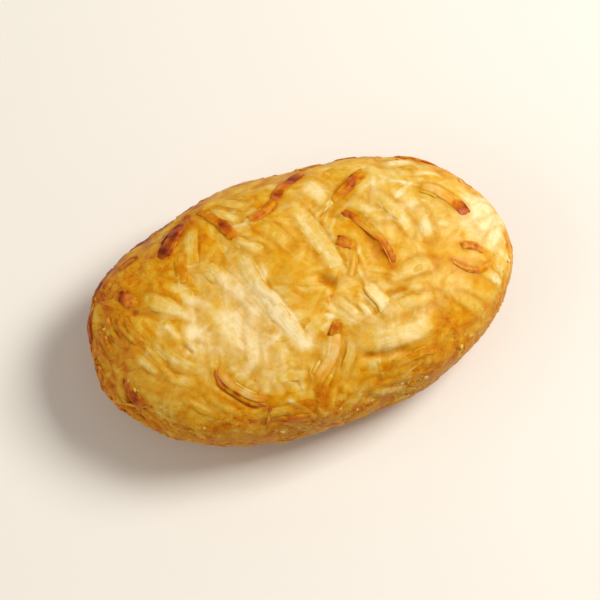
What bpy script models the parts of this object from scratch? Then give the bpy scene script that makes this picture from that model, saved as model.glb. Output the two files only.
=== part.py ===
"""Rosti croquette: a pressed oval of grated potato, fried golden, lying on the flat spot of its underside.

One solid: a rounded oval core with the shreds and crumbs that stand out of its crust fused on.
Metres, +Z up. The origin is the middle of the flat spot underneath, and X runs along the oval.
"""

import math
import random

import bmesh
import bpy
from mathutils import Vector

MM = 0.001

# The whole croquette, over its crust.
LENGTH = 64 * MM
WIDTH = 39.5 * MM
HEIGHT = 21 * MM

# The core lies this far inside that size, and the shreds stand out of it.
CRUST = 0.7 * MM
CORE_LONG = LENGTH / 2 - CRUST
CORE_WIDE = WIDTH / 2 - CRUST
WIDEST_AT = 9.5 * MM
DOME = HEIGHT - CRUST - WIDEST_AT
BELLY = 1.09 * WIDEST_AT  # the underside would reach this far down, and the flat spot cuts it off
OVAL_POWER = 2.25  # 2 is an ellipse, and more is squarer, seen from above
SIDE_POWER = 2.6  # the same, seen from the side
MIDDLE = Vector((0, 0, WIDEST_AT))

# Soft dents and swellings that pressing leaves in the core: height, wavelength, direction and phase.
SWELLS = (
    (0.30 * MM, 21 * MM, Vector((0.8, 0.5, 0.3)), 0.4),
    (0.26 * MM, 15 * MM, Vector((-0.5, 0.8, 0.2)), 2.1),
    (0.20 * MM, 11 * MM, Vector((0.6, -0.3, 0.9)), 4.0),
)

# Grated potato: a shred is a soft bar with a flat face outwards.
SHRED_THICK = 1.5 * MM
END_TAPER = 0.72
POINT_SPACING = 3.8 * MM  # along a shred's middle line
FLOOR_CLEARANCE = 0.6 * MM  # nothing but the flat spot comes closer to the floor than this

# The shreds that catch the eye on the upper face, in millimetres: where each starts and ends from
# above, how far its middle bows to the left, its width, and how proud it lies.
MARKED_SHREDS = (
    ((-13.5, 1.0), (-8.5, -10.5), -0.3, 5.0, 0.2),
    ((-10.5, 5.5), (-6.5, -6.0), 0.2, 3.6, 0.3),
    ((-19.5, 14.0), (-9.5, 16.3), 0.3, 2.4, 0.3),
    ((-11.8, 13.2), (-14.3, 5.8), 0.2, 2.0, 0.4),
    ((-9.3, 14.8), (-4.6, 10.8), -0.2, 1.9, 0.4),
    ((-7.5, 16.2), (-3.2, 12.8), -0.2, 1.9, 0.4),
    ((-8.2, 9.0), (-3.8, 4.6), 0.2, 2.1, 0.4),
    ((-3.0, 9.8), (0.2, 4.2), 0.2, 2.3, 0.3),
    ((-12.6, 6.8), (-8.8, -1.0), 0.2, 2.6, 0.3),
    ((-18.5, 7.4), (-14.6, 4.0), 0.2, 1.6, 0.3),
    ((4.6, 14.5), (8.6, 9.4), 0.2, 3.4, 0.3),
    ((11.0, 9.2), (14.6, 4.2), 0.2, 2.3, 0.3),
    ((17.0, 13.8), (22.5, 12.4), 0.2, 2.3, 0.3),
    ((10.5, -8.6), (18.5, -9.0), 0.3, 2.4, 0.2),
    ((20.5, -9.0), (24.0, -12.5), -0.3, 2.0, 0.3),
    ((24.5, -6.0), (27.5, -9.5), 0.2, 2.2, 0.3),
    ((6.5, -6.0), (7.2, -9.8), 0.0, 1.3, 0.4),
    ((3.4, -5.2), (5.8, -9.4), 0.2, 1.7, 0.3),
    ((-20.3, 0.8), (-18.8, -4.2), 0.3, 1.8, 0.4),
    ((-24.6, -0.2), (-21.6, -6.4), 0.3, 1.1, 0.4),
    ((-23.3, -0.6), (-20.4, -6.4), 0.3, 1.2, 0.4),
    ((-25.6, -2.8), (-23.0, -7.2), 0.2, 1.3, 0.4),
    ((-22.5, -7.0), (-18.0, -9.8), -0.2, 1.7, 0.3),
    ((-18.0, -11.2), (-14.5, -15.6), 0.2, 1.5, 0.3),
    ((-21.5, -10.5), (-17.5, -14.5), 0.2, 1.4, 0.3),
    ((-12.5, -16.4), (-7.0, -17.2), 0.2, 1.6, 0.3),
    ((-9.0, -13.2), (-3.5, -14.4), 0.3, 1.9, 0.3),
    ((0.6, -9.6), (-1.6, -14.0), 0.2, 1.4, 0.3),
    ((4.0, -10.8), (1.4, -16.2), 0.2, 1.5, 0.3),
    ((-7.9, 6.8), (-2.1, -12.0), 0.2, 2.9, 0.7),
    ((2.4, 11.6), (5.2, -2.2), 0.0, 2.9, 0.45),
    ((8.9, -3.4), (9.9, -9.4), 0.2, 2.2, 0.5),
    ((4.5, -11.5), (17.5, -10.8), -0.6, 3.8, 0.3),
    ((12.5, -4.5), (19.5, -4.0), 0.4, 2.4, 0.4),
    ((14.5, 9.0), (17.5, 0.5), 0.4, 2.2, 0.3),
    ((19.2, 4.6), (20.2, -1.2), 0.2, 1.9, 0.3),
    ((-21.5, -2.0), (-17.5, -8.5), -0.4, 2.0, 0.4),
    ((-4.5, 16.0), (-12.0, 15.5), 0.5, 1.6, 0.4),
    ((-23.2, 5.2), (-16.0, -1.0), 0.5, 2.3, 0.5),
    ((-15.0, 9.0), (-16.5, 4.5), 0.2, 1.5, 0.3),
    ((8.5, -15.5), (15.5, -15.0), 0.4, 1.5, 0.3),
    ((2.1, -10.0), (-3.0, -15.9), 0.4, 2.5, 0.6),
    ((0.6, 12.8), (-3.7, 10.1), 0.3, 1.5, 0.4),
    ((6.1, 16.3), (0.4, 12.5), -0.3, 1.6, 0.6),
    ((-10.3, 15.2), (-6.7, 8.2), 0.4, 1.6, 0.5),
    ((-12.9, 14.3), (-18.1, 9.2), 0.0, 2.1, 0.8),
    ((14.8, 12.8), (8.6, 10.6), 0.0, 1.5, 0.7),
    ((9.6, 8.6), (13.4, -2.2), 0.4, 1.1, 0.6),
    ((20.7, 8.0), (26.0, 1.4), 0.1, 2.0, 1.0),
    ((23.6, -2.7), (26.3, -3.6), 0.2, 1.1, 0.5),
    ((21.7, -4.0), (27.2, -5.0), -1.9, 0.9, 0.4),
    ((6.6, 3.7), (8.7, 1.5), 0.3, 1.5, 0.6),
    ((8.5, 1.2), (6.1, -3.1), 0.2, 1.2, 0.3),
    ((2.7, -8.6), (1.3, -10.4), 0.0, 1.2, 0.7),
    ((-25.5, 7.6), (-23.2, 4.2), 0.0, 1.5, 0.6),
    ((-25.4, 3.6), (-23.6, -2.4), -0.3, 0.7, 0.5),
    ((-26.6, 4.6), (-24.7, -1.6), -0.3, 0.7, 0.5),
    ((-27.8, 5.0), (-26.2, -1.7), -0.3, 0.7, 0.5),
    ((-29.0, 4.6), (-28.0, -1.4), -0.2, 0.7, 0.5),
    ((-29.9, 2.6), (-29.2, -2.0), -0.2, 0.7, 0.5),
    ((-27.9, -5.3), (-27.0, -9.8), -0.6, 1.2, 0.5),
    ((-15.9, -9.6), (-10.6, -15.6), -0.7, 0.6, 0.4),
    ((-15.1, -9.2), (-9.9, -14.9), -0.6, 1.1, 0.5),
    ((19.5, 15.5), (26.0, 11.5), 0.4, 1.7, 0.9),
    ((-30.8, 2.5), (-29.0, 7.5), 0.3, 1.5, 0.5),
    ((-28.8, 8.0), (-25.5, 11.5), 0.3, 1.4, 0.4),
    ((-24.5, 11.2), (-21.0, 12.2), 0.2, 1.2, 0.4),
    ((-9.8, -17.6), (-4.8, -18.4), 0.2, 1.2, 0.4),
    ((6.0, 17.6), (9.5, 17.4), 0.1, 0.8, 0.3),
    ((11.5, 17.2), (14.5, 16.6), 0.1, 0.7, 0.3),
)

# The rest of the crust: bundles of like shreds, each bundle set down where the crust is barest.
SHRED_SEED = 11
BUNDLES = 42
PLACES_TRIED = 24
SHREDS_IN_BUNDLE = (2, 4)
SHRED_LENGTH = (6 * MM, 13 * MM)
SHRED_WIDTH = (1.5 * MM, 2.3 * MM)
SHRED_PROUD = (0.3 * MM, 0.75 * MM)
FAN_ANGLE = math.radians(14)  # how much two neighbours in a bundle may differ in heading
SIDE_GAP = 2.5 * MM  # between the middle lines of neighbours
BOW = 0.09  # sideways bow of a shred's middle, as a share of its length
ROLL = math.radians(16)  # how far a shred is tipped about its own length
LOWEST_PLACE = -0.70  # how far down the side a bundle may lie: -1 is straight below

# Hard fried crumbs along the edge of the underside.
CRUMB_SEED = 5
CRUMBS = 30
CRUMB_SIZE = (0.8 * MM, 1.25 * MM)
CRUMB_BAND = (-0.50, -0.12)

CORE_SEGMENTS = 48
CORE_RINGS = 14
KEPT_TRIANGLES = 0.76  # the rest are slivers that the union leaves where shreds cross


def swell(point):
    """How far the pressed core stands out at this point, or in if negative."""
    return sum(
        high * math.sin(2 * math.pi * point.dot(along.normalized()) / wave + phase)
        for high, wave, along, phase in SWELLS
    )


def on_core(point):
    """The point of the core's surface straight out from its middle through this point."""
    out = (point - MIDDLE).normalized()
    drop = DOME if out.z > 0 else BELLY
    flat = abs(out.x / CORE_LONG) ** OVAL_POWER + abs(out.y / CORE_WIDE) ** OVAL_POWER
    reach = (flat ** (SIDE_POWER / OVAL_POWER) + abs(out.z / drop) ** SIDE_POWER) ** (-1 / SIDE_POWER)
    return MIDDLE + out * (reach + swell(out * reach))


def outward(point):
    """The surface's outward direction at a point on the core."""
    out = (point - MIDDLE).normalized()
    side = out.orthogonal().normalized()
    other = out.cross(side)
    step = 0.4 * MM
    across = on_core(point + side * step) - on_core(point - side * step)
    along = on_core(point + other * step) - on_core(point - other * step)
    return across.cross(along).normalized()


def top_place(x_mm, y_mm):
    """The point of the upper face that lies at this place seen from above."""
    x, y = x_mm * MM, y_mm * MM
    flat = abs(x / CORE_LONG) ** OVAL_POWER + abs(y / CORE_WIDE) ** OVAL_POWER
    rise = max(0.0, 1 - flat ** (SIDE_POWER / OVAL_POWER)) ** (1 / SIDE_POWER)
    return on_core(Vector((x, y, WIDEST_AT + DOME * rise)))


def middle_line(start, end, bow):
    """Points along a shred that lies on the core, bowed to the left by bow at its middle."""
    steps = max(3, round((end - start).length / POINT_SPACING))
    left = outward((start + end) / 2).cross(end - start).normalized()
    shares = (i / steps for i in range(steps + 1))
    return [on_core(start.lerp(end, s) + left * bow * 4 * s * (1 - s)) for s in shares]


def shred_mesh(line, width, proud, roll):
    """A closed bar along the line with four sides, its outer face proud of the core."""
    mesh = bmesh.new()
    rings = []
    last = len(line) - 1
    for i, place in enumerate(line):
        ahead = (line[min(i + 1, last)] - line[max(i - 1, 0)]).normalized()
        out = outward(place)
        left = out.cross(ahead).normalized()
        tipped = left * math.cos(roll) + out * math.sin(roll)
        up = ahead.cross(tipped)
        size = END_TAPER if i in (0, last) else 1.0
        across = tipped * (width / 2 * size)
        high = up * (SHRED_THICK / 2 * size)
        centre = place + out * (proud - SHRED_THICK / 2)
        corners = (across + high, -across + high, -across - high, across - high)
        rings.append([mesh.verts.new(centre + corner) for corner in corners])
    for before, after in zip(rings, rings[1:]):
        for k in range(4):
            n = (k + 1) % 4
            mesh.faces.new((before[k], before[n], after[n], after[k]))
    mesh.faces.new(rings[0][::-1])
    mesh.faces.new(rings[-1])
    bmesh.ops.recalc_face_normals(mesh, faces=mesh.faces)
    return mesh


def crumb_mesh(place, size, spin):
    """A rough lump of crust, half sunk in the side."""
    mesh = bmesh.new()
    bmesh.ops.create_icosphere(mesh, subdivisions=1, radius=size)
    for corner in mesh.verts:
        corner.co *= 1 + 0.25 * math.sin(7 * corner.co.x / size + spin)
        corner.co += place
    return mesh


def add_object(name, mesh, collection):
    """An object of the mesh in flat triangles, which a union keeps exactly where they are."""
    bmesh.ops.triangulate(mesh, faces=mesh.faces)
    data = bpy.data.meshes.new(name)
    mesh.to_mesh(data)
    mesh.free()
    made = bpy.data.objects.new(name, data)
    collection.objects.link(made)
    return made


def core_mesh():
    """The pressed oval, as rings from its flat spot up to the middle of its top."""
    mesh = bmesh.new()
    foot_dip = -math.asin(min(1.0, WIDEST_AT / BELLY))
    rings = []
    for r in range(CORE_RINGS):
        tilt = foot_dip + (math.pi / 2 - foot_dip) * r / CORE_RINGS
        ring = []
        for s in range(CORE_SEGMENTS):
            turn = 2 * math.pi * s / CORE_SEGMENTS
            oval = Vector((CORE_LONG * math.cos(turn), CORE_WIDE * math.sin(turn), 0)) * math.cos(tilt)
            drop = DOME if tilt > 0 else BELLY
            place = on_core(MIDDLE + oval + Vector((0, 0, drop * math.sin(tilt))))
            place.z = 0.0 if r == 0 else max(place.z, 0.2 * MM * r)
            ring.append(mesh.verts.new(place))
        rings.append(ring)
    for low, high in zip(rings, rings[1:]):
        for s in range(CORE_SEGMENTS):
            n = (s + 1) % CORE_SEGMENTS
            mesh.faces.new((low[s], low[n], high[n], high[s]))
    crown = mesh.verts.new(on_core(MIDDLE + Vector((0, 0, DOME))))
    for s in range(CORE_SEGMENTS):
        mesh.faces.new((rings[-1][s], rings[-1][(s + 1) % CORE_SEGMENTS], crown))
    mesh.faces.new(rings[0][::-1])
    return mesh


def random_place(draw, low, high):
    """A point of the core's surface between two heights of the unit ball it is stretched from."""
    level = draw.uniform(low, high)
    turn = draw.uniform(0, 2 * math.pi)
    ring = math.sqrt(1 - level * level)
    drop = DOME if level > 0 else BELLY
    oval = Vector((CORE_LONG * ring * math.cos(turn), CORE_WIDE * ring * math.sin(turn), drop * level))
    return on_core(MIDDLE + oval)


def barest_place(draw, taken):
    """Of several places drawn, the one furthest from every shred that is there already."""
    places = [random_place(draw, LOWEST_PLACE, 1) for _ in range(PLACES_TRIED)]
    return max(places, key=lambda place: min((place - other).length for other in taken))


def marked_shreds():
    for (x0, y0), (x1, y1), bow, width, proud in MARKED_SHREDS:
        start, end = top_place(x0, y0), top_place(x1, y1)
        yield middle_line(start, end, bow * MM), width * MM, proud * MM, 0.0


def bundled_shreds(taken):
    """The shreds of every bundle, lying side by side and fanned out a little."""
    draw = random.Random(SHRED_SEED)
    for _ in range(BUNDLES):
        place = barest_place(draw, taken)
        taken.append(place)
        out = outward(place)
        turn = draw.uniform(0, 2 * math.pi)
        east = out.orthogonal().normalized()
        heading = east * math.cos(turn) + out.cross(east) * math.sin(turn)
        for k in range(draw.randint(*SHREDS_IN_BUNDLE)):
            fan = draw.uniform(-FAN_ANGLE, FAN_ANGLE)
            length = draw.uniform(*SHRED_LENGTH)
            slip = draw.uniform(-0.3, 0.3) * length
            width = draw.uniform(*SHRED_WIDTH)
            proud = draw.uniform(*SHRED_PROUD)
            bow = draw.uniform(-BOW, BOW) * length
            roll = draw.uniform(-ROLL, ROLL)
            aim = heading * math.cos(fan) + out.cross(heading) * math.sin(fan)
            centre = place + out.cross(heading) * SIDE_GAP * (k - 1) + aim * slip
            start, end = on_core(centre - aim * length / 2), on_core(centre + aim * length / 2)
            yield middle_line(start, end, bow), width, proud, roll


def clear_of_floor(mesh):
    return min(corner.co.z for corner in mesh.verts) > FLOOR_CLEARANCE


def crust_pieces():
    """Each shred and crumb of the crust as a small closed mesh."""
    marked = list(marked_shreds())
    taken = [line[len(line) // 2] for line, _, _, _ in marked]
    for line, width, proud, roll in marked + list(bundled_shreds(taken)):
        yield "shred", shred_mesh(line, width, proud, roll)
    draw = random.Random(CRUMB_SEED)
    for _ in range(CRUMBS):
        place = random_place(draw, *CRUMB_BAND)
        yield "crumb", crumb_mesh(place, draw.uniform(*CRUMB_SIZE), draw.uniform(0, 6))


def fried_potato():
    material = bpy.data.materials.new("fried_potato")
    material.use_nodes = True
    surface = material.node_tree.nodes["Principled BSDF"]
    surface.inputs["Base Color"].default_value = (0.72, 0.40, 0.10, 1)
    surface.inputs["Roughness"].default_value = 0.45
    surface.inputs["Metallic"].default_value = 0.0
    return material


def keep_outer_skin(data):
    """Fills the hollows that fusing sealed off, and drops loose scraps: only the largest skin stays."""
    mesh = bmesh.new()
    mesh.from_mesh(data)
    skins = []
    unseen = set(mesh.faces)
    while unseen:
        skin = [unseen.pop()]
        for face in skin:
            whole = [edge for edge in face.edges if len(edge.link_faces) == 2]
            found = {near for edge in whole for near in edge.link_faces} & unseen
            unseen -= found
            skin.extend(found)
        skins.append(skin)
    skins.sort(key=len)
    for skin in skins[:-1]:
        bmesh.ops.delete(mesh, geom=skin, context="FACES")
    mesh.to_mesh(data)
    mesh.free()


def fuse(core, pieces):
    """Joins the pieces to the core with one union, and clears them away."""
    join = core.modifiers.new("fuse_crust", "BOOLEAN")
    join.operation = "UNION"
    join.operand_type = "COLLECTION"
    join.collection = pieces
    join.solver = "MANIFOLD"
    graph = bpy.context.evaluated_depsgraph_get()
    fused = bpy.data.meshes.new_from_object(core.evaluated_get(graph))
    core.modifiers.remove(join)
    keep_outer_skin(fused)
    core.data = fused
    for piece in list(pieces.objects):
        bpy.data.objects.remove(piece)
    bpy.data.collections.remove(pieces)


def main():
    for old in list(bpy.data.objects):
        bpy.data.objects.remove(old)
    scene = bpy.context.scene.collection
    core = add_object("rosti_croquette", core_mesh(), scene)
    pieces = bpy.data.collections.new("crust_pieces")
    scene.children.link(pieces)
    for kind, mesh in crust_pieces():
        if clear_of_floor(mesh):
            add_object(kind, mesh, pieces)
        else:
            mesh.free()
    fuse(core, pieces)
    slivers = core.modifiers.new("drop_slivers", "DECIMATE")
    slivers.ratio = KEPT_TRIANGLES
    core.data.materials.clear()
    core.data.materials.append(fried_potato())
    core.data.shade_smooth()
    core.data.set_sharp_from_angle(angle=math.radians(35))


main()
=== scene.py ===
"""A rosti croquette: grated potato pressed into an oval and fried golden, on a pale studio floor."""

import math
import random

import bpy
import numpy as np
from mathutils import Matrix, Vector


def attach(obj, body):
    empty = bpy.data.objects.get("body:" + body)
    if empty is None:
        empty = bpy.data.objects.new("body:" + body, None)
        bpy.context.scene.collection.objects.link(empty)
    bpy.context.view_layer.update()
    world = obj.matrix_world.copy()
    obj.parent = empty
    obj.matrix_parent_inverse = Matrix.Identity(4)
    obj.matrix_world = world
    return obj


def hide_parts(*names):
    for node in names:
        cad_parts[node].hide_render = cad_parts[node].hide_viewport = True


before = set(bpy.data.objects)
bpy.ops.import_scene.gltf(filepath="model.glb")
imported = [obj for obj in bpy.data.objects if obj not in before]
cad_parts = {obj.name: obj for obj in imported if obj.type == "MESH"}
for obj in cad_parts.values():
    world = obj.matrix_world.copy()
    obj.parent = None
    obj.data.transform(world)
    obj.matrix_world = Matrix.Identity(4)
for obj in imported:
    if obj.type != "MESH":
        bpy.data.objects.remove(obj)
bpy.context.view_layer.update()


# ---------------------------------------------------------------- The pressed oval
# Grated potato is pressed into an oval cake with soft shoulders and a flat underside.
# Its form is the solid's: a rounded oval with the slight dents and swellings that pressing leaves.
# Lengths are in millimetres here, and become metres where a mesh is made.

MM = 0.001
CRUST = 0.7
CORE_LONG = 64 / 2 - CRUST
CORE_WIDE = 39.5 / 2 - CRUST
WIDEST_AT = 9.5
DOME = 21 - CRUST - WIDEST_AT
BELLY = 1.09 * WIDEST_AT
OVAL_POWER = 2.25
SIDE_POWER = 2.6
MIDDLE = np.array((0, 0, WIDEST_AT))
SWELLS = (
    (0.30, 21, (0.8, 0.5, 0.3), 0.4),
    (0.26, 15, (-0.5, 0.8, 0.2), 2.1),
    (0.20, 11, (0.6, -0.3, 0.9), 4.0),
)


def unit(vectors):
    return vectors / np.linalg.norm(vectors, axis=-1, keepdims=True)


def swell(points):
    """How far the pressed oval stands out at these points, or in where negative."""
    total = np.zeros(points.shape[:-1])
    for high, wave, along, phase in SWELLS:
        total += high * np.sin(2 * math.pi * (points @ unit(np.array(along))) / wave + phase)
    return total


def on_core(points):
    """The places of the oval's surface straight out from its middle through these points."""
    out = unit(points - MIDDLE)
    drop = np.where(out[..., 2] > 0, DOME, BELLY)
    flat = np.abs(out[..., 0] / CORE_LONG) ** OVAL_POWER + np.abs(out[..., 1] / CORE_WIDE) ** OVAL_POWER
    tall = np.abs(out[..., 2] / drop) ** SIDE_POWER
    reach = (flat ** (SIDE_POWER / OVAL_POWER) + tall) ** (-1 / SIDE_POWER)
    full = reach + swell(out * reach[..., None])
    return MIDDLE + out * full[..., None]


def outward(points):
    """The surface's outward directions at points on the oval."""
    out = unit(points - MIDDLE)
    side = unit(np.cross(out, (0.267, 0.534, 0.801)))
    other = np.cross(out, side)
    step = 0.4
    across = on_core(points + side * step) - on_core(points - side * step)
    along = on_core(points + other * step) - on_core(points - other * step)
    return unit(np.cross(across, along))


def top_place(x, y):
    """The point of the upper face that lies at this place seen from above."""
    flat = abs(x / CORE_LONG) ** OVAL_POWER + abs(y / CORE_WIDE) ** OVAL_POWER
    rise = max(0.0, 1 - flat ** (SIDE_POWER / OVAL_POWER)) ** (1 / SIDE_POWER)
    return on_core(np.array((x, y, WIDEST_AT + DOME * rise)))


# ---------------------------------------------------------------- The shreds
# The potato is grated coarsely, so every shred is a bar 1 to 2.5 mm wide and 6 to 13 mm long.
# Bundles of like shreds lie pressed in side by side. Those that catch the eye are placed one by one.
# Toast says how brown a shred has fried, from 0, milky, to 1, burnt.

MARKED_SHREDS = (
    # start, end, bow, width, proud, tilt in degrees that lifts the left side, toasts along it
    ((-13.5, 1.0), (-8.5, -10.5), -0.3, 5.0, 0.2, 2, (0.18, 0.10, 0.08, 0.16)),
    ((-10.5, 5.5), (-6.5, -6.0), 0.2, 3.6, 0.3, 2, (0.20, 0.10, 0.06, 0.10)),
    ((-19.5, 14.0), (-9.5, 16.3), 0.3, 2.4, 0.3, 3, (0.48, 0.42, 0.40, 0.42)),
    ((-11.8, 13.2), (-14.3, 5.8), 0.2, 2.0, 0.4, 4, (0.42, 0.30, 0.34, 0.40)),
    ((-9.3, 14.8), (-4.6, 10.8), -0.2, 1.9, 0.4, -4, (0.36, 0.26, 0.24, 0.32)),
    ((-7.5, 16.2), (-3.2, 12.8), -0.2, 1.9, 0.4, -4, (0.34, 0.26, 0.32)),
    ((-8.2, 9.0), (-3.8, 4.6), 0.2, 2.1, 0.4, 4, (0.38, 0.24, 0.22, 0.26)),
    ((-3.0, 9.8), (0.2, 4.2), 0.2, 2.3, 0.3, 3, (0.38, 0.34, 0.32, 0.30)),
    ((-12.6, 6.8), (-8.8, -1.0), 0.2, 2.6, 0.3, 4, (0.26, 0.18, 0.14, 0.16)),
    ((-18.5, 7.4), (-14.6, 4.0), 0.2, 1.6, 0.3, 3, (0.48, 0.36, 0.34)),
    ((4.6, 14.5), (8.6, 9.4), 0.2, 3.4, 0.3, 2, (0.18, 0.12, 0.14, 0.20)),
    ((11.0, 9.2), (14.6, 4.2), 0.2, 2.3, 0.3, -3, (0.26, 0.18, 0.22)),
    ((17.0, 13.8), (22.5, 12.4), 0.2, 2.3, 0.3, 0, (0.16, 0.08, 0.14)),
    ((10.5, -8.6), (18.5, -9.0), 0.3, 2.4, 0.2, 3, (0.28, 0.24, 0.26, 0.32)),
    ((20.5, -9.0), (24.0, -12.5), -0.3, 2.0, 0.3, 0, (0.36, 0.28, 0.38)),
    ((24.5, -6.0), (27.5, -9.5), 0.2, 2.2, 0.3, 0, (0.24, 0.16, 0.26)),
    ((6.5, -6.0), (7.2, -9.8), 0.0, 1.3, 0.4, 4, (0.26, 0.18, 0.24)),
    ((3.4, -5.2), (5.8, -9.4), 0.2, 1.7, 0.3, 3, (0.32, 0.24, 0.28)),
    ((-20.3, 0.8), (-18.8, -4.2), 0.3, 1.8, 0.4, 4, (0.32, 0.22, 0.26)),
    ((-24.6, -0.2), (-21.6, -6.4), 0.3, 1.1, 0.4, 3, (0.48, 0.30, 0.36)),
    ((-23.3, -0.6), (-20.4, -6.4), 0.3, 1.2, 0.4, 3, (0.42, 0.26, 0.34)),
    ((-25.6, -2.8), (-23.0, -7.2), 0.2, 1.3, 0.4, 3, (0.32, 0.22, 0.34)),
    ((-22.5, -7.0), (-18.0, -9.8), -0.2, 1.7, 0.3, 0, (0.36, 0.30, 0.38)),
    ((-18.0, -11.2), (-14.5, -15.6), 0.2, 1.5, 0.3, 0, (0.46, 0.38, 0.46)),
    ((-21.5, -10.5), (-17.5, -14.5), 0.2, 1.4, 0.3, 0, (0.48, 0.40, 0.46)),
    ((-12.5, -16.4), (-7.0, -17.2), 0.2, 1.6, 0.3, 0, (0.44, 0.36, 0.46)),
    ((-9.0, -13.2), (-3.5, -14.4), 0.3, 1.9, 0.3, 0, (0.32, 0.24, 0.32)),
    ((0.6, -9.6), (-1.6, -14.0), 0.2, 1.4, 0.3, 3, (0.28, 0.22, 0.34)),
    ((4.0, -10.8), (1.4, -16.2), 0.2, 1.5, 0.3, -3, (0.34, 0.26, 0.40)),
    ((-7.9, 6.8), (-2.1, -12.0), 0.2, 2.9, 0.7, 6, (0.18, 0.10, 0.05, 0.02, 0.06)),
    ((2.4, 11.6), (5.2, -2.2), 0.0, 2.9, 0.45, 3, (0.28, 0.20, 0.18, 0.14)),
    ((8.9, -3.4), (9.9, -9.4), 0.2, 2.2, 0.5, -3, (0.22, 0.12, 0.08, 0.14)),
    ((4.5, -11.5), (17.5, -10.8), -0.6, 3.8, 0.3, -3, (0.24, 0.16, 0.20, 0.34)),
    ((12.5, -4.5), (19.5, -4.0), 0.4, 2.4, 0.4, -4, (0.30, 0.26, 0.30)),
    ((14.5, 9.0), (17.5, 0.5), 0.4, 2.2, 0.3, -4, (0.24, 0.18, 0.20)),
    ((19.2, 4.6), (20.2, -1.2), 0.2, 1.9, 0.3, 2, (0.16, 0.10, 0.14)),
    ((-21.5, -2.0), (-17.5, -8.5), -0.4, 2.0, 0.4, 6, (0.34, 0.22, 0.26)),
    ((-4.5, 16.0), (-12.0, 15.5), 0.5, 1.6, 0.4, 0, (0.44, 0.36, 0.40)),
    ((-23.2, 5.2), (-16.0, -1.0), 0.5, 2.3, 0.5, 6, (0.40, 0.22, 0.16, 0.16)),
    ((-15.0, 9.0), (-16.5, 4.5), 0.2, 1.5, 0.3, 0, (0.50, 0.60, 0.48)),
    ((8.5, -15.5), (15.5, -15.0), 0.4, 1.5, 0.3, 0, (0.44, 0.56, 0.52)),
    ((2.1, -10.0), (-3.0, -15.9), 0.4, 2.5, 0.6, 5, (0.24, 0.18, 0.24, 0.52)),
    ((0.6, 12.8), (-3.7, 10.1), 0.3, 1.5, 0.4, 0, (0.64, 0.56, 0.46)),
    ((6.1, 16.3), (0.4, 12.5), -0.3, 1.6, 0.6, 0, (0.68, 0.78, 0.68, 0.72)),
    ((-10.3, 15.2), (-6.7, 8.2), 0.4, 1.6, 0.5, 0, (0.60, 0.64, 0.74, 0.60)),
    ((-12.9, 14.3), (-18.1, 9.2), 0.0, 2.1, 0.8, 0, (0.90, 0.86, 0.90)),
    ((14.8, 12.8), (8.6, 10.6), 0.0, 1.5, 0.7, 5, (0.58, 0.64, 0.56, 0.50)),
    ((9.6, 8.6), (13.4, -2.2), 0.4, 1.1, 0.6, 0, (0.84, 0.80, 0.40, 0.34, 0.60, 0.72, 0.74)),
    ((20.7, 8.0), (26.0, 1.4), 0.1, 2.0, 1.0, 5, (0.36, 0.20, 0.24, 0.36, 0.78, 0.86)),
    ((23.6, -2.7), (26.3, -3.6), 0.2, 1.1, 0.5, 0, (0.54, 0.60)),
    ((21.7, -4.0), (27.2, -5.0), -1.9, 0.9, 0.4, 0, (0.52, 0.60, 0.56)),
    ((6.6, 3.7), (8.7, 1.5), 0.3, 1.5, 0.6, 0, (0.64, 0.52, 0.58)),
    ((8.5, 1.2), (6.1, -3.1), 0.2, 1.2, 0.3, 0, (0.44, 0.48, 0.42)),
    ((2.7, -8.6), (1.3, -10.4), 0.0, 1.2, 0.7, 0, (0.68, 0.56)),
    ((-25.5, 7.6), (-23.2, 4.2), 0.0, 1.5, 0.6, 0, (0.72, 0.66, 0.58)),
    ((-25.4, 3.6), (-23.6, -2.4), -0.3, 0.7, 0.5, 0, (0.56, 0.46, 0.52)),
    ((-26.6, 4.6), (-24.7, -1.6), -0.3, 0.7, 0.5, 0, (0.60, 0.46, 0.56)),
    ((-27.8, 5.0), (-26.2, -1.7), -0.3, 0.7, 0.5, 0, (0.66, 0.48, 0.60)),
    ((-29.0, 4.6), (-28.0, -1.4), -0.2, 0.7, 0.5, 0, (0.68, 0.50, 0.58)),
    ((-29.9, 2.6), (-29.2, -2.0), -0.2, 0.7, 0.5, 0, (0.64, 0.50, 0.56)),
    ((-27.9, -5.3), (-27.0, -9.8), -0.6, 1.6, 0.5, 0, (0.64, 0.76, 0.72)),
    ((-15.9, -9.6), (-10.6, -15.6), -0.7, 0.6, 0.3, 0, (0.76, 0.62, 0.54, 0.64, 0.70)),
    ((-15.2, -9.3), (-10.1, -15.0), -0.7, 1.2, 0.6, 5, (0.56, 0.20, 0.36, 0.18, 0.36, 0.54)),
    ((19.5, 15.5), (26.0, 11.5), 0.4, 1.7, 0.9, 0, (0.60, 0.66, 0.62)),
    ((-30.8, 2.5), (-29.0, 7.5), 0.3, 1.5, 0.5, 0, (0.90, 0.84, 0.90)),
    ((-28.8, 8.0), (-25.5, 11.5), 0.3, 1.4, 0.4, 0, (0.86, 0.78, 0.86)),
    ((-24.5, 11.2), (-21.0, 12.2), 0.2, 1.2, 0.4, 0, (0.66, 0.72, 0.60)),
    ((-9.8, -17.6), (-4.8, -18.4), 0.2, 1.2, 0.4, 0, (0.62, 0.70, 0.64)),
    ((6.0, 17.6), (9.5, 17.4), 0.1, 0.8, 0.3, 0, (0.60, 0.70)),
    ((11.5, 17.2), (14.5, 16.6), 0.1, 0.7, 0.3, 0, (0.66, 0.58)),
)
SHRED_SEED = 11
BUNDLES = 42
PLACES_TRIED = 24
SHREDS_IN_BUNDLE = (2, 4)
SHRED_LENGTH = (6, 13)
SHRED_WIDTH = (1.5, 2.3)
SHRED_PROUD = (0.3, 0.75)
FAN_ANGLE = math.radians(14)
SIDE_GAP = 2.5
BOW = 0.09
ROLL = math.radians(16)
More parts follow.
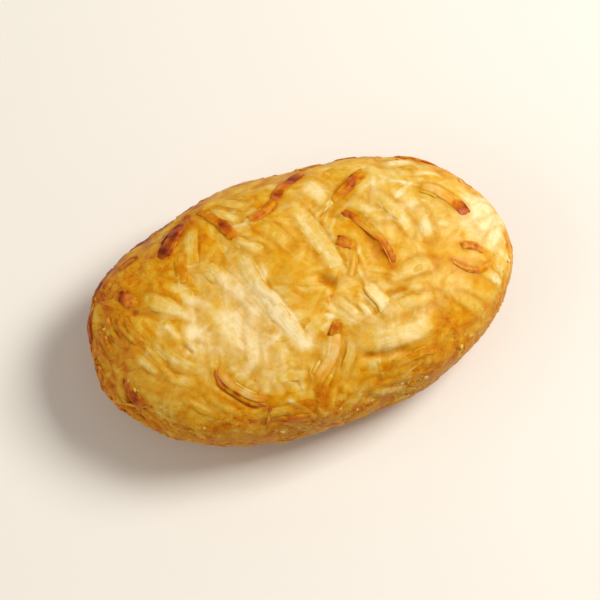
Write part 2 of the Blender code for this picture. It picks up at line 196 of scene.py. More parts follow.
SLIP = 0.3
LOWEST_PLACE = -0.70
POINT_SPACING = 0.9


def middle_line(start, end, bow):
    """Points along a shred that lies on the oval, bowed to the left by bow at its middle."""
    steps = max(4, round(float(np.linalg.norm(end - start)) / POINT_SPACING))
    left = unit(np.cross(outward((start + end) / 2), end - start))
    share = np.linspace(0, 1, steps + 1)[:, None]
    return on_core(start + (end - start) * share + left * bow * 4 * share * (1 - share))


def random_place(draw, low, high):
    """A point of the oval's surface between two heights of the unit ball it is stretched from."""
    level = draw.uniform(low, high)
    turn = draw.uniform(0, 2 * math.pi)
    ring = math.sqrt(1 - level * level)
    drop = DOME if level > 0 else BELLY
    return on_core(MIDDLE + np.array((
        CORE_LONG * ring * math.cos(turn),
        CORE_WIDE * ring * math.sin(turn),
        drop * level,
    )))


def bundle(draw, place, count, side_gap, lengths, widths, prouds):
    """Like shreds lying side by side at a place, fanned out a little."""
    out = outward(place)
    turn = draw.uniform(0, 2 * math.pi)
    east = np.array(Vector(out).orthogonal().normalized())
    heading = east * math.cos(turn) + np.cross(out, east) * math.sin(turn)
    for k in range(draw.randint(*count)):
        fan = draw.uniform(-FAN_ANGLE, FAN_ANGLE)
        length = draw.uniform(*lengths)
        slip = draw.uniform(-SLIP, SLIP) * length
        width = draw.uniform(*widths)
        proud = draw.uniform(*prouds)
        bow = draw.uniform(-BOW, BOW) * length
        roll = draw.uniform(-ROLL, ROLL)
        aim = heading * math.cos(fan) + np.cross(out, heading) * math.sin(fan)
        centre = place + np.cross(out, heading) * side_gap * (k - 1) + aim * slip
        start, end = on_core(centre - aim * length / 2), on_core(centre + aim * length / 2)
        yield middle_line(start, end, bow), width, proud, roll


marked = [
    (middle_line(top_place(*start), top_place(*end), bow), width, proud, math.radians(tilt), toasts)
    for start, end, bow, width, proud, tilt, toasts in MARKED_SHREDS
]
draw = random.Random(SHRED_SEED)
taken = [line[len(line) // 2] for line, *_ in marked]
bundled = []
for _ in range(BUNDLES):
    places = [random_place(draw, LOWEST_PLACE, 1) for _ in range(PLACES_TRIED)]
    barest = max(places, key=lambda place: min(np.linalg.norm(place - other) for other in taken))
    taken.append(barest)
    bundled += bundle(draw, barest, SHREDS_IN_BUNDLE, SIDE_GAP, SHRED_LENGTH, SHRED_WIDTH, SHRED_PROUD)


# ---------------------------------------------------------------- The crust
# Under and between the shreds that stand out lies a mat of more shreds, set in a film of potato
# starch that fries to a smooth golden skin. It is one closed skin, raised and sunk along the oval,
# pale on top where it was pressed flat and brown and grainy round the sides, with painted amber shade
# in its gaps and on its sides.

SKIN_GRID = (186, 118, 90)
CROWDED_TO_TOP = 0.30
GAP_DEPTH = -0.60
MAT_SEED = 29
MAT_BUNDLES = 150
MAT_COUNT = (2, 4)
MAT_GAP = 2.0
MAT_LENGTH = (6, 15)
MAT_WIDTH = (1.4, 3.0)
MAT_PROUD = (-0.25, 0.15)
MAT_LEVELLED = 3
THREAD_BUNDLES = 300
THREAD_BAND = (-0.8, 1)
THREAD_GAP = 1.2
THREAD_LENGTH = (2.5, 7.0)
THREAD_WIDTH = (0.9, 1.8)
THREAD_PROUD = (-0.08, 0.10)
CREASED_SHARE = 0.5
CREASE_DEPTH = (0.03, 0.12)
PALE_RISE = 0.25
BROWNED_RISE = 0.30
PALE_PAINTED = 1.3
BROWNED_FROM = 0.5
FAT_TOAST = 0.46
USUAL_TOAST = 0.32
USUAL_WEIGHT = 0.3
SIDE_TOAST = 0.12
SIDE_PAINTED_LIGHT = 0.08
EDGE_TOAST = 0.12
EDGE_BROWNER = 0.30
EDGE_PALER = 0.26
PATCHY = 0.12
WIDE_DRIFT = (5.0, 0.9)
FINE_DRIFT = (1.9, 0.35)
SCRAMBLERS = (73856093, 19349663, 83492791)
BROWNING_AND_PAINTED_LIGHT = (
    # place from above, radius and toast of the parts that fried browner or stayed paler; the pale right
    # shoulder is a painted highlight, and the patch at (0, 15.5) and some browner patches on the left are
    # painted shade
    ((28, 3), 4.5, -0.08), ((23, 11), 4.0, 0.26), ((16, 11), 3.5, 0.04), ((18.5, 3), 3.0, 0.20),
    ((22.5, 0), 2.5, 0.46), ((27, 8), 3.0, 0.56), ((15, 15), 2.0, 0.40), ((-27, 1), 1.8, 0.54),
    ((12, 0), 1.8, 0.50), ((8, 6), 2.2, 0.44), ((4.5, 12), 2.5, 0.22), ((9, 15), 3.0, 0.28),
    ((13, 8), 2.0, 0.18), ((0, -4), 2.5, 0.26), ((-2.5, 2), 2.5, 0.40), ((15, -5), 2.5, 0.32),
    ((4, -7), 3.0, 0.30), ((10, -12), 4.0, 0.14), ((18, -8), 3.5, 0.36), ((16, -15.5), 3.0, 0.58),
    ((25, -9), 3.5, 0.32), ((22.5, -6), 1.8, 0.50), ((19.5, -13), 1.7, 0.60), ((10, -15), 1.8, 0.40),
    ((-10, -5), 4.5, 0.02), ((-6, -12), 3.0, 0.14), ((-17, -4), 2.0, -0.06), ((-20, -1), 3.0, 0.32),
    ((-26, 4), 2.5, 0.58), ((-25, -4), 1.6, 0.24), ((-29, -3), 2.0, 0.58), ((-21, -10), 4.0, 0.38),
    ((-20, 8), 3.5, 0.56), ((-23, 12), 3.0, 0.50), ((-16, 13), 3.0, 0.58), ((-12, 9), 2.5, 0.32),
    ((-14, 3), 3.0, 0.18), ((-4, 13), 3.0, 0.32), ((-5, -16), 3.0, 0.42), ((4, -16), 2.5, 0.32),
    ((7, -17), 3.0, 0.42), ((-2.5, -17.5), 1.6, 0.62), ((-27, 9), 3.0, 0.66), ((-16, -15.5), 3.0, 0.56),
    ((-15.5, -10.5), 3.0, 0.18), ((0, 15.5), 1.5, 0.56), ((-16, 16.5), 3.0, 0.68), ((-10, 17), 2.0, 0.52),
)
PAINTED_LIGHT_SIDE = (0.8, 0.6, 0)
BROWNER_EDGE = (-0.8, 0.6, 0)
PALER_EDGE = (-0.6, -0.8, 0)
FILM_THICKER = (
    # place from above, radius and how much higher the starch film stands
    ((26, 4), 7, 0.35), ((24, -9), 5, 0.30), ((-1.5, 0.5), 4, 0.20), ((-20, 9), 5, 0.25),
    ((14, 13), 4, 0.25), ((3, 12), 3, 0.20), ((-11, -6), 5, 0.20), ((10, -8), 4, 0.12),
    ((-20, -9), 5, 0.15), ((12, 3), 4, 0.15),
)
HOLLOWS = (
    # start and end from above, width and depth of the gaps between shreds, sunk and painted with amber
    # shade
    ((1.9, -1.0), (4.2, -3.4), 1.4, 0.8),
    ((11.0, -6.3), (14.2, -6.5), 1.1, 0.5),
    ((4.6, -13.8), (10.5, -14.2), 1.1, 0.5),
    ((7.5, -6.0), (8.2, -9.0), 0.6, 0.25),
    ((19.7, 6.6), (23.6, 1.6), 0.7, 0.10),
    ((10.8, 5.6), (12.3, -1.5), 1.4, 0.4),
    ((-16.2, -10.8), (-12.0, -15.6), 0.7, 0.3),
    ((-18.8, -3.8), (-18.0, -5.4), 0.6, 0.4),
    ((-12.8, 5.0), (-12.2, 3.2), 0.7, 0.4),
    ((-3.2, 1.6), (-0.8, -4.6), 3.0, 0.15),
    ((8.8, 10.4), (5.3, 8.2), 0.5, 0.3),
    ((7.0, 8.6), (9.4, 6.8), 1.4, 0.3),
    ((-6.5, -13.5), (-5.4, -14.6), 0.8, 0.4),
    ((-28.6, -5.6), (-27.8, -10.4), 0.7, 0.4),
    ((-24.6, 3.8), (-20.4, 1.2), 1.2, 0.3),
    ((-22.6, -3.6), (-20.8, -8.0), 0.8, 0.3),
)


def box_grid(cells):
    """Corners on a box's surface, from -1 to 1 along each side, and the quads between them."""
    counts = np.array(cells)
    quads = []
    for axis in range(3):
        a, b = (axis + 1) % 3, (axis + 2) % 3
        i, j = np.meshgrid(np.arange(counts[a]), np.arange(counts[b]), indexing="ij")
        for end in (0, counts[axis]):
            corners = []
            for step_a, step_b in ((0, 0), (1, 0), (1, 1), (0, 1)):
                place = np.empty(i.shape + (3,), int)
                place[..., axis] = end
                place[..., a] = i + step_a
                place[..., b] = j + step_b
                corners.append(place.reshape(-1, 3))
            quads.append(np.stack(corners if end else corners[::-1], axis=1))
    places, index = np.unique(np.concatenate(quads).reshape(-1, 3), axis=0, return_inverse=True)
    return places / counts * 2 - 1, index.reshape(-1, 4)


def rounded(places):
    """Places on a box's surface drawn in to a unit ball, still evenly spread."""
    squares = places * places
    ball = np.empty_like(places)
    for axis in range(3):
        a, b = squares[:, (axis + 1) % 3], squares[:, (axis + 2) % 3]
        ball[:, axis] = places[:, axis] * np.sqrt(1 - a / 2 - b / 2 + a * b / 3)
    return ball


def hashed(cells, seed):
    """A number from 0 to 1 for each whole-numbered cell, the same each run."""
    mixed = np.full(cells.shape[:-1], (seed * 2654435761) % 2**32, np.uint32)
    for axis, factor in enumerate(SCRAMBLERS):
        mixed ^= cells[..., axis].astype(np.int64).astype(np.uint32) * np.uint32(factor)
        mixed = (mixed ^ (mixed >> np.uint32(15))) * np.uint32(2246822519)
    return (mixed ^ (mixed >> np.uint32(13))).astype(np.float64) / 2**32


def soft_noise(points, size, seed):
    """Smooth noise from -0.5 to 0.5 whose patches are about this size."""
    scaled = points / size
    cell = np.floor(scaled)
    part = scaled - cell
    part = part * part * (3 - 2 * part)
    total = np.zeros(len(points))
    for corner in np.ndindex(2, 2, 2):
        weight = np.prod(np.where(np.array(corner) == 1, part, 1 - part), axis=1)
        total += weight * hashed(cell + np.array(corner), seed)
    return total - 0.5


def grains(points, size, seed):
    """Height from 0 to 1 of rounded grains about this size packed side by side."""
    scaled = points / size
    cell = np.floor(scaled)
    nearest = np.full(len(points), 9.0)
    for shift in np.ndindex(3, 3, 3):
        near = cell + np.array(shift) - 1
        seat = np.stack([hashed(near, seed + axis) for axis in range(3)], axis=1)
        nearest = np.minimum(nearest, np.linalg.norm(near + seat - scaled, axis=1))
    return np.clip(1 - nearest, 0, 1)


def ramp(low, high, values):
    """0 below low, 1 above high and smooth between."""
    share = np.clip((values - low) / (high - low), 0, 1)
    return share * share * (3 - 2 * share)


def drift(points):
    """How far pressing has pushed each point of the crust aside, which bends every shred a little."""
    wide = np.stack([soft_noise(points, WIDE_DRIFT[0], 81 + axis) for axis in range(3)], axis=1)
    fine = np.stack([soft_noise(points, FINE_DRIFT[0], 91 + axis) for axis in range(3)], axis=1)
    return wide * WIDE_DRIFT[1] + fine * FINE_DRIFT[1]


def near_place(points, place, radius):
    """1 at a place of the upper face, fading out over this radius."""
    away = points - top_place(*place)
    return np.exp(-np.einsum("ij,ij->i", away, away) / radius**2)


def frying(points):
    """How brown the crust is at these points of the oval, before each shred's own browning. Painted light
    is part of it: the sides facing the light are paler, and the browning table holds a painted highlight
    and painted shade.
    """
    out = outward(points)
    level = out[:, 2] + 0.25 * soft_noise(points, 3.0, 5)
    # Painted light: the steep sides turn browner, less so on the side facing the light.
    sides = ramp(0.15, 0.80, 1 - level) * (SIDE_TOAST - SIDE_PAINTED_LIGHT * out @ PAINTED_LIGHT_SIDE)
    edge = EDGE_TOAST + EDGE_BROWNER * np.maximum(0, out @ BROWNER_EDGE)
    edge -= EDGE_PALER * np.maximum(0, out @ PALER_EDGE)
    edge *= ramp(0.55, 0.70, 1 - level) * (1 - 0.5 * ramp(0.72, 1.00, 1 - level))
    patchy = soft_noise(points, 8.0, 3) * 0.3 + soft_noise(points, 3.4, 4) * 0.3
    patchy += soft_noise(points, 1.8, 6) * 0.8
    weight = np.full(len(points), USUAL_WEIGHT)
    total = weight * (USUAL_TOAST + sides)
    for place, radius, browned in BROWNING_AND_PAINTED_LIGHT:
        near = near_place(points, place, radius)
        weight += near
        total += near * browned
    return total / weight + edge + PATCHY * patchy


class Skin:
    """The crust's height and finish at each point of the oval, painted on shred by shred.

    Toast is how brown it is, film how fully starch covers it, hollow how far it is darkened
    toward amber, partly as fat and mostly as painted shade in gaps, creases, beside shreds and on the
    steep sides, calm how smooth it lies beside a shred, and fibre where its streaks run.
    """

    def __init__(self, places, normals, quads):
        self.places = places + drift(places)
        self.normals = normals
        self.height = np.full(len(places), GAP_DEPTH)
        self.ground = np.zeros(len(places))
        self.toast = frying(places)
        self.film = np.zeros(len(places))
        self.hollow = np.zeros(len(places))
        self.calm = np.zeros(len(places))
        self.fibre = places * 0.2
        self.ends = np.concatenate([quads[:, [0, 1]], quads[:, [1, 2]]])
        self.degree = np.bincount(self.ends.ravel(), minlength=len(places))

    def settled(self, values, rounds):
        """The values evened out between neighbouring points, over and over."""
        first, second = self.ends.T
        for _ in range(rounds):
            total = np.bincount(first, values[second], len(values))
            total += np.bincount(second, values[first], len(values))
            values = (values + total / self.degree) / 2
        return values

    def nearest(self, spots):
        """The numbers of the points closest to these."""
        half = np.linalg.norm(spots - spots[0], axis=1).max() + 1
        near = np.nonzero(np.linalg.norm(self.places - spots[0], axis=1) < half)[0]
        gaps = np.linalg.norm(self.places[near][None] - spots[:, None], axis=2)
        return near[gaps.argmin(axis=1)]

    def near_line(self, line, reach):
        """The points close to a shred, with how far along and aside of its middle line each lies."""
        middle = line[len(line) // 2]
        half = np.linalg.norm(line - middle, axis=1).max() + reach
        near = np.nonzero(np.linalg.norm(self.places - middle, axis=1) < half)[0]
        spots = self.places[near]
        ahead = np.diff(line, axis=0)
        lengths = np.linalg.norm(ahead, axis=1)
        so_far = np.concatenate([[0], np.cumsum(lengths)])
        best = np.full(len(near), 99.0)
        along = np.zeros(len(near))
        aside = np.zeros(len(near))
        last = len(lengths) - 1
        for i, (start, step, length) in enumerate(zip(line[:-1], ahead, lengths)):
            share = ((spots - start) @ step) / length**2
            share = np.clip(share, None if i == 0 else 0, None if i == last else 1)
            away = spots - start - share[:, None] * step
            left = np.cross(self.normals[near], step / length)
            gap = np.linalg.norm(away, axis=1)
            closer = gap < best
            best = np.where(closer, gap, best)
            along = np.where(closer, so_far[i] + share * length, along)
            aside = np.where(closer, np.einsum("ij,ij->i", away, left), aside)
        return near, along, aside, so_far[-1]

    def spread(self, line, width, number, ragged):
        """How far from a shred's middle the points near it lie: 1 is its edge or its end."""
        near, along, aside, total = self.near_line(line, width + 1)
        spots = self.places[near]
        wobble = 1 + ragged * soft_noise(spots, 2.4, number + 7)
        across = np.abs(aside) / (width / 2 * wobble)
        nose = 0.8 * width
        past = np.clip((nose - np.minimum(along, total - along)) / nose, 0, None)
        return near, along, aside, total, (across**2.6 + past**2.6) ** (1 / 2.6)

    def merge(self, near, heights, blend):
        """Raises the skin to these heights where they are higher, and tells how fully it did."""
        rise = heights - self.height[near]
        over = np.clip(rise / blend / 2 + 0.5, 0, 1)
        self.height[near] += rise * over + blend * over * (1 - over)
        return over

    def lay(self, line, width, proud, toasts, number, tilt=0.0, drop=0.45, blend=0.2, ragged=0.7):
        """Presses one shred into the crust along its middle line."""
        near, along, aside, total, out = self.spread(line, width, number, ragged)
        run = np.clip(along / total, 0, 1)
        if max(toasts) > BROWNED_FROM:
            glow = 0.5 * np.exp(-(np.maximum(0, out - 0.8) * width / 1.3) ** 2)
            self.toast[near] += np.maximum(0, FAT_TOAST - self.toast[near]) * glow
        crown = proud + aside * math.tan(tilt) - drop * out**3 - 0.25 * np.abs(2 * run - 1) ** 3
        crown += self.ground[near]
        over = self.merge(near, np.where(out > 1.9, -9.0, crown), blend)
        toast = np.interp(run, np.linspace(0, 1, len(toasts)), toasts)
        if max(toasts) > BROWNED_FROM:
            toast += (FAT_TOAST - toast) * ramp(0.6, 1.2, out)
        else:
            toast += 0.24 * (out**3 - 0.25)
        self.toast[near] += (toast - self.toast[near]) * over
        self.film[near] *= 1 - over
        self.hollow[near] *= 1 - over
        fibre = np.stack([along * 0.16, aside * 2.4, np.full(len(near), number * 3.7)], axis=1)
        self.fibre[near] = np.where(over[:, None] > 0.5, fibre, self.fibre[near])

    def flood(self, level, blend, toast):
        """Fills what lies lower than this level with starch film, which hides the deeper shreds."""
        hidden = 0.85 * np.clip((level - self.height) / 0.45, 0, 1)
        over = self.merge(slice(None), level, blend)
        self.toast += (toast - self.toast) * hidden
        self.film = np.maximum(self.film, over)

    def sink(self, line, width, depth):
        """Sinks a gap between shreds along this line and paints amber shade in it."""
        near, *_, out = self.spread(line, width, 900, 0.5)
        strength = np.exp(-out**2)
        self.height[near] -= depth * strength
        self.hollow[near] = np.maximum(self.hollow[near], strength * min(1.0, depth / 0.4))

    def frame(self, line, width):
        """Paints amber shade on the crust beside a shred that stands out, and calms the crust along it."""
        near, *_, out = self.spread(line, width, 901, 0.3)
        beside = 0.6 * np.exp(-((out - 1.1) / 0.4) ** 2)
        self.hollow[near] = np.maximum(self.hollow[near], beside)
        self.calm[near] = np.maximum(self.calm[near], np.exp(-out**4))

    def part(self, line, width, side, window, depth, broad=0.18):
        """Sinks a sharp crease along a stretch of one side of a shred and paints amber shade in it."""
        near, along, aside, total = self.near_line(line, width)
        off = (aside - side * width * 0.55) / broad
        start, end = window[0] * total, window[1] * total
        fade = ramp(start, start + 0.8, along) * (1 - ramp(end - 0.8, end, along))
        strength = np.exp(-off * off) * fade
        self.height[near] -= depth * strength
        self.hollow[near] = np.maximum(self.hollow[near], strength * 0.7)


grid, quads = box_grid(SKIN_GRID)
ball = unit(rounded(grid) + (0, 0, CROWDED_TO_TOP))
stretch = np.stack([
    ball[:, 0] * CORE_LONG,
    ball[:, 1] * CORE_WIDE,
    ball[:, 2] * np.where(ball[:, 2] > 0, DOME, BELLY),
], axis=1)
places = on_core(MIDDLE + stretch)
normals = outward(places)
skin = Skin(places, normals, quads)
brown = skin.toast.copy()

draw = random.Random(MAT_SEED)
mat = []
for _ in range(MAT_BUNDLES):
    place = random_place(draw, -1, 1)
    mat += bundle(draw, place, MAT_COUNT, MAT_GAP, MAT_LENGTH, MAT_WIDTH, MAT_PROUD)
draw.shuffle(mat)


def shred_tips(draw, line, palest=-0.14, brownest=0.05):
    """How brown a shred is at its two ends: as its place is, give or take, with browner tips."""
    local = float(frying(line[len(line) // 2][None])[0])
    base = local + draw.uniform(palest, brownest)
    tips = [base, base + draw.choice((0, 0, 0.04, 0.08, 0.16))]
    draw.shuffle(tips)
    return tips


creases = []
number = 0
for line, width, proud, roll in mat:
    number += 1
    skin.lay(line, width, proud, shred_tips(draw, line), number, tilt=roll)
film_level = 0.02 + 0.22 * soft_noise(places, 6.0, 15) + 0.30 * soft_noise(places, 2.4, 16)
thicker = np.zeros(len(places))
for place, radius, higher in FILM_THICKER:
    thicker += higher * near_place(places, place, radius)
film_level += thicker
skin.flood(film_level, 0.12, brown + 0.04)
skin.height = skin.settled(skin.height, MAT_LEVELLED)
for line, width, proud, roll in bundled:
    number += 1
    skin.lay(line, width * 1.15, proud * 0.5, shred_tips(draw, line), number, tilt=roll * 0.6)
    if draw.random() < CREASED_SHARE:
        from_end = draw.uniform(0, 0.6)
        creases.append((line, width, draw.choice((-1, 1)), (from_end, from_end + 0.4)))
skin.flood(film_level + 0.12, 0.14, brown + 0.04)
skin.height = skin.settled(skin.height, 2)
skin.ground = skin.settled(skin.height, 12)
for _ in range(THREAD_BUNDLES):
    place = random_place(draw, *THREAD_BAND)
    for line, width, proud, roll in bundle(
            draw, place, MAT_COUNT, THREAD_GAP, THREAD_LENGTH, THREAD_WIDTH, THREAD_PROUD):
        number += 1
        tips = shred_tips(draw, line, -0.15, 0.11)
        skin.lay(line, width, proud, tips, number, tilt=roll, drop=0.3, blend=0.1)
skin.ground = skin.settled(skin.height, 30)
for line, width, proud, tilt, toasts in marked:
    number += 1
    pale = max(toasts) < BROWNED_FROM
    rise = 0.04 + (PALE_RISE if pale else BROWNED_RISE) * proud
    painted = width * (PALE_PAINTED if pale else 1.0)
    skin.lay(line, painted, rise, toasts, number, tilt=tilt, blend=0.16, ragged=0.7 if pale else 1.2)
    creases.append((line, width, -1 if tilt < 0 else 1, (0.1, 0.9) if pale else (0.0, 0.7)))
skin.flood(skin.ground - 0.06 + 0.8 * thicker + 0.25 * soft_noise(places, 2.2, 17), 0.10, brown)
for start, end, width, depth in HOLLOWS:
    skin.sink(middle_line(top_place(*start), top_place(*end), 0), width, depth)
for line, width, *_ in marked + bundled:
    skin.frame(line, width)
for line, width, side, window in creases:
    skin.part(line, width, side, window, draw.uniform(*CREASE_DEPTH))

# The finished skin crinkles a little and its sides turn pebbly. Painted shade darkens it toward amber in
# its dips and on its steep sides and browns it between the pebbles, and a painted highlight makes its
# ridges paler.
crinkle = 1 - 4 * np.abs(soft_noise(skin.places, 1.9, 46))
crinkle += 0.5 - 2 * np.abs(soft_noise(skin.places, 1.0, 44))
height = skin.height + 0.05 * crinkle
raised = np.clip((height - skin.settled(height, 24)) / 0.25, -1, 1)
steep = ramp(0.25, 0.80, 1 - normals[:, 2] + 0.3 * soft_noise(places, 3.0, 48))
# Painted shade: amber darkening in the dips and on the steep sides.
hollow = np.maximum(np.clip(-raised, 0, 1) * 0.4, skin.hollow)
hollow = np.maximum(hollow, steep * (0.60 + 0.5 * soft_noise(places, 2.0, 49)))
rough = np.maximum(ramp(0.42, 0.66, brown + 0.25 * soft_noise(places, 4.0, 77)), 0.7 * steep)
pebbles = grains(places, 1.3, 41) + 0.5 * grains(places, 0.7, 51)
height += 0.24 * rough * (pebbles - 0.7) + 0.06 * soft_noise(places, 0.8, 42)
height += 0.12 * soft_noise(places, 7.0, 43) + 0.12 * soft_noise(places, 2.0, 45)
# Painted shade between the pebbles and painted highlight on the ridges.
skin.toast += 0.16 * rough * (0.7 - pebbles) - 0.11 * raised
skin.toast += 0.10 * soft_noise(skin.places, 1.5, 47)
body_points = places + normals * height[:, None]


def make_mesh(name, points, faces, values):
    """A mesh object from points in millimetres, which are pressed up where they lie below the floor."""
    points = np.maximum(points, (-np.inf, -np.inf, 0.0))
    data = bpy.data.meshes.new(name)
    data.from_pydata((points * MM).tolist(), [], faces)
    for kind, per_point in values.items():
        vector = per_point.ndim == 2
        layer = data.attributes.new(kind, "FLOAT_VECTOR" if vector else "FLOAT", "POINT")
        layer.data.foreach_set("vector" if vector else "value", per_point.astype(np.float32).ravel())
    data.shade_smooth()
    made = bpy.data.objects.new(name, data)
    bpy.context.scene.collection.objects.link(made)
    return made


crust = make_mesh("crust", body_points, quads.tolist(), {
    "toast": skin.toast,
    "hollow": hollow,
    "film": skin.film,
    "fibre": skin.fibre,
    "grainy": rough,
    "oil": 1 - steep,
    "matted": (1 - 0.4 * skin.film) * (1 - 0.8 * skin.calm) * (1 - 2 * np.minimum(thicker, 0.4)),
})


class Socket:
    """A node's output, so that sums and products of sockets are written as plain maths."""

    def __init__(self, tree, output):
        self.tree = tree
        self.output = output

    @staticmethod
    def node(tree, kind, settings=(), **inputs):
        made = tree.nodes.new(kind)
        for key, value in dict(settings).items():
            if key == "stops":
                fill_ramp(made.color_ramp, value)
            else:
                setattr(made, key, value)
        for key, value in inputs.items():
            name = int(key[1:]) if key[0] == "_" else key.replace("_", " ")
            if isinstance(value, Socket):
                tree.links.new(value.output, made.inputs[name])
            else:
                made.inputs[name].default_value = value
        return made

    def maths(self, operation, other, swap=False):
        first, second = (other, self) if swap else (self, other)
        made = Socket.node(self.tree, "ShaderNodeMath", {"operation": operation}, _0=first, _1=second)
        return Socket(self.tree, made.outputs[0])

    def __add__(self, other):
        return self.maths("ADD", other)

    def __radd__(self, other):
        return self.maths("ADD", other)

    def __sub__(self, other):
        return self.maths("SUBTRACT", other)

    def __rsub__(self, other):
        return self.maths("SUBTRACT", other, swap=True)

    def __mul__(self, other):
        return self.maths("MULTIPLY", other)

    def __rmul__(self, other):
        return self.maths("MULTIPLY", other)


def fill_ramp(ramp_settings, stops):
    """Sets a colour ramp's stops, each a place from 0 to 1 and an sRGB colour from 0 to 255."""
    elements = ramp_settings.elements
    while len(elements) < len(stops):
        elements.new(0.5)
    for element, (place, colour) in zip(elements, stops):
        element.position = place
        element.color = (*linear(colour), 1)


def linear(colour):
    """An sRGB colour from 0 to 255 as the linear numbers that shaders use."""
    shares = [c / 255 for c in colour]
    return [s / 12.92 if s <= 0.04045 else ((s + 0.055) / 1.055) ** 2.4 for s in shares]


FRYING = (
    # toast and the colour that it gives
    (0.00, (240, 218, 166)),
    (0.10, (232, 202, 134)),
    (0.20, (223, 187, 97)),
    (0.30, (219, 171, 60)),
    (0.40, (214, 155, 26)),
    (0.50, (208, 137, 4)),
    (0.60, (199, 115, 3)),
    (0.70, (183, 89, 6)),
    (0.80, (156, 66, 12)),
    (0.90, (124, 43, 10)),
    (1.00, (84, 25, 8)),
)
# The amber that painted shade, partly fat, darkens the crust toward.
SHADE_AMBER = (218, 178, 52)
BLUSH = (226, 118, 74)
SHEEN = (255, 222, 170)
FINE_SHRED = (0.0060, 0.0013, 0.0013)
FINE_TURNS = (0.5, 1.7, 2.6)
BEND = 0.003


def potato_material(name):
    """Fried potato: translucent, oily, browned by its toast and streaked along its fibres."""
    material = bpy.data.materials.new(name)
    material.use_nodes = True
    tree = material.node_tree
    shader = tree.nodes["Principled BSDF"]

    def add(kind, settings=(), output=0, **inputs):
        return Socket(tree, Socket.node(tree, kind, settings, **inputs).outputs[output])

    spot = add("ShaderNodeTexCoord", output="Object")
    toast = add("ShaderNodeAttribute", {"attribute_name": "toast"}, "Fac")
    sunk = add("ShaderNodeAttribute", {"attribute_name": "hollow"}, "Fac")
    film = add("ShaderNodeAttribute", {"attribute_name": "film"}, "Fac")
    grainy = add("ShaderNodeAttribute", {"attribute_name": "grainy"}, "Fac")
    fibre = add("ShaderNodeAttribute", {"attribute_name": "fibre"}, "Vector")
    mottle = add("ShaderNodeTexNoise", Vector=spot, Scale=1000.0, Detail=3.0, Roughness=0.6)
    speckle = add("ShaderNodeTexNoise", Vector=spot, Scale=3000.0, Detail=2.0, Roughness=0.6)
    streak = add("ShaderNodeTexNoise", Vector=fibre, Scale=1.0, Detail=3.0, Roughness=0.6)
    blotch = add("ShaderNodeTexNoise", Vector=spot, Scale=380.0, Detail=2.0, Roughness=0.5)
    matted = add("ShaderNodeAttribute", {"attribute_name": "matted"}, "Fac")
    bend = add("ShaderNodeTexNoise", output="Color", Vector=spot, Scale=170.0, Detail=1.0)
    bent = add("ShaderNodeVectorMath", {"operation": "MULTIPLY_ADD"},
               _0=bend, _1=(BEND, BEND, BEND), _2=spot)
    upper = None
    for turn in FINE_TURNS:
        laid = add("ShaderNodeMapping", {"vector_type": "TEXTURE"}, Vector=bent,
                   Rotation=(0.3, 0.2, turn), Scale=FINE_SHRED)
        cells = Socket.node(tree, "ShaderNodeTexVoronoi", Vector=laid, Scale=1.0)
        shade, away = (Socket(tree, cells.outputs[kind]) for kind in ("Color", "Distance"))
        lies = shade * 0.7 - away * 0.3
        upper = upper.maths("MAXIMUM", lies) if upper else lies
    fine = (upper - 0.31) * matted
    uneven = (mottle - 0.5) * (0.30 + grainy * 0.5) + (speckle - 0.5) * (0.10 + grainy * 0.5)
    level = toast + uneven + (blotch - 0.5) * 0.18 + (streak - 0.5) * (0.30 - film * 0.18) - fine * 0.7
    colour = add("ShaderNodeValToRGB", {"stops": FRYING}, Fac=level)
    # Painted shade: hollow darkens the colour toward amber, partly as fat.
    amber = add("ShaderNodeMix", {"data_type": "RGBA", "blend_type": "MULTIPLY"}, 2,
                _0=sunk * 0.7, _6=colour, _7=(*linear(SHADE_AMBER), 1))
    # Painted highlight: the tops of browned shreds turn pinkish, partly as blistered skin.
    blister = add("ShaderNodeAttribute", {"attribute_name": "blister"}, "Fac")
    blushed = add("ShaderNodeMix", {"data_type": "RGBA"}, 2, _0=blister, _6=amber, _7=(*linear(BLUSH), 1))
    tree.links.new(blushed.output, shader.inputs["Base Color"])
    grip = 0.46 - film * 0.08 - (mottle - 0.5) * 0.4
    tree.links.new(grip.output, shader.inputs["Roughness"])
    relief = mottle * (0.35 + grainy * 0.5) + speckle * (0.2 + grainy * 0.3) + fine * 1.5
    relief = relief + streak * (0.6 - film * 0.4)
    bump = add("ShaderNodeBump", Height=relief, Strength=0.6, Distance=0.00022)
    tree.links.new(bump.output, shader.inputs["Normal"])
    shader.inputs["Subsurface Weight"].default_value = 0.22
    shader.inputs["Subsurface Radius"].default_value = (1.0, 0.45, 0.12)
    shader.inputs["Subsurface Scale"].default_value = 0.0009
    shader.inputs["Specular IOR Level"].default_value = 0.08
    shader.inputs["Specular Tint"].default_value = (*linear(SHEEN), 1)
    oil = add("ShaderNodeAttribute", {"attribute_name": "oil"}, "Fac")
    tree.links.new((oil * 0.16).output, shader.inputs["Coat Weight"])
    shader.inputs["Coat Roughness"].default_value = 0.36
    return material


fried_potato = potato_material("fried_potato")
crust.data.materials.append(fried_potato)
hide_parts("rosti_croquette")
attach(crust, "root")


# ---------------------------------------------------------------- The shreds on top
# The shreds that the starch did not cover lie half sunk in the crust as bars of their own.
# Their edges and tips fry first, so the highest are browned, shrunken and blistered, and the others
# stay pale. Thin wisps of potato are caught round the rim, where they burn to dark threads.

